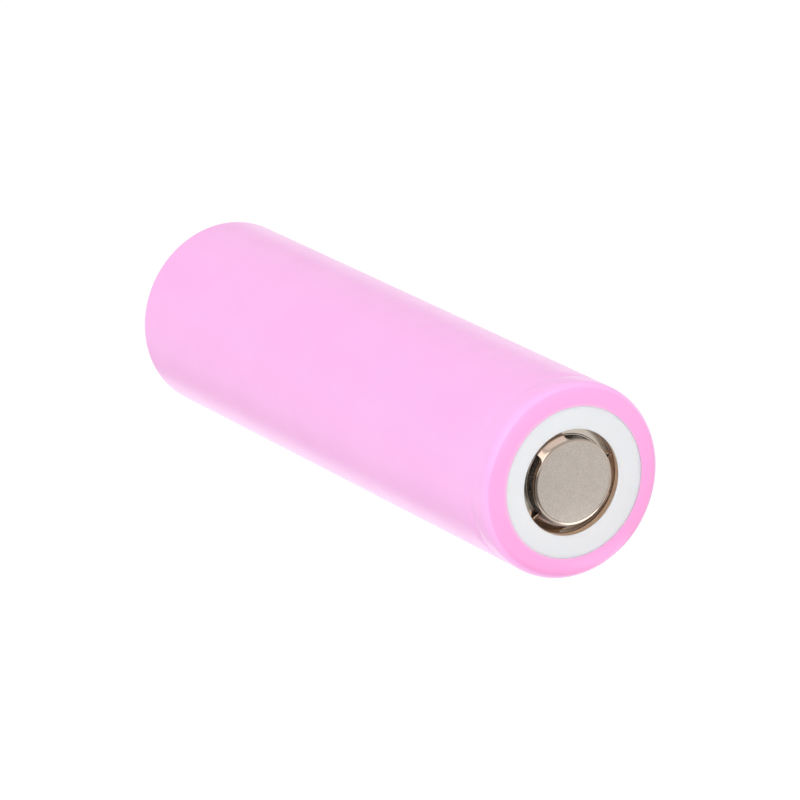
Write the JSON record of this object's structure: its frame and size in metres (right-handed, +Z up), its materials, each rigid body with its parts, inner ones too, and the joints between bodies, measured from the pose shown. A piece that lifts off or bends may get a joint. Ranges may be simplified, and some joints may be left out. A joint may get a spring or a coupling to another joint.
{
  "type": "cylindrical battery cell",
  "caption": "Cylindrical lithium-ion battery cell lying on its side, in a pink shrink sleeve, with a flat vented positive cap inside a white insulator ring.",
  "frame": {"origin": "on the surface that the cell lies on, under the middle of its length", "axes": "+Y along the cell's axis from the positive to the negative end, +Z up, +X to the right seen from the positive end"},
  "size_m": [0.0184, 0.065, 0.0184],
  "materials": {
    "sleeve": "glossy pink heat-shrink film",
    "washer": "matte white insulating sheet",
    "nickel_plated_can": "nickel-plated drawn steel",
    "gasket": "natural polypropylene",
    "nickel_plated_cap": "satin nickel-plated pressed steel",
    "ptc_faces": "nickel foil faces on a polymer ring",
    "vent_aluminium": "rolled aluminium",
    "holder_plastic": "natural polypropylene",
    "plate_aluminium": "stamped aluminium",
    "tab_aluminium": "soft aluminium strip",
    "tab_tape": "amber polyimide tape",
    "insulator_film": "frosted plastic sheet",
    "tab_nickel": "nickel strip",
    "winding_tape": "green polypropylene tape",
    "pin_steel": "rolled steel tube",
    "separator": "white microporous film",
    "anode_coating": "dark grey graphite coating",
    "copper_foil": "copper foil",
    "cathode_coating": "black oxide coating",
    "aluminium_foil": "aluminium foil"
  },
  "bodies": {
    "cell": {"shrink_sleeve": "sleeve", "insulator_washer": "washer", "steel_can": "nickel_plated_can", "crimp_gasket": "gasket", "positive_cap": "nickel_plated_cap", "ptc_washer": "ptc_faces", "vent_holder": "holder_plastic", "disconnect_plate": "plate_aluminium", "weld_plate": "plate_aluminium", "positive_tab": "tab_aluminium", "positive_tab_tape": "tab_tape", "top_insulator": "insulator_film", "foot_insulator": "insulator_film", "negative_tab": "tab_nickel", "winding_tape": "winding_tape", "centre_pin": "pin_steel", "separator_inner": "separator", "separator_outer": "separator", "anode_coating_inner": "anode_coating", "anode_coating_outer": "anode_coating", "anode_foil": "copper_foil", "cathode_coating_inner": "cathode_coating", "cathode_coating_outer": "cathode_coating", "cathode_foil": "aluminium_foil"},
    "vent": {"safety_vent": "vent_aluminium"}
  },
  "joints": [
    {"name": "vent_snap", "type": "slide", "parent": "cell", "child": "vent", "axis": [0, -1, 0], "range_m": [0, 0.0006], "deforming": ["safety_vent"]}
  ]
}
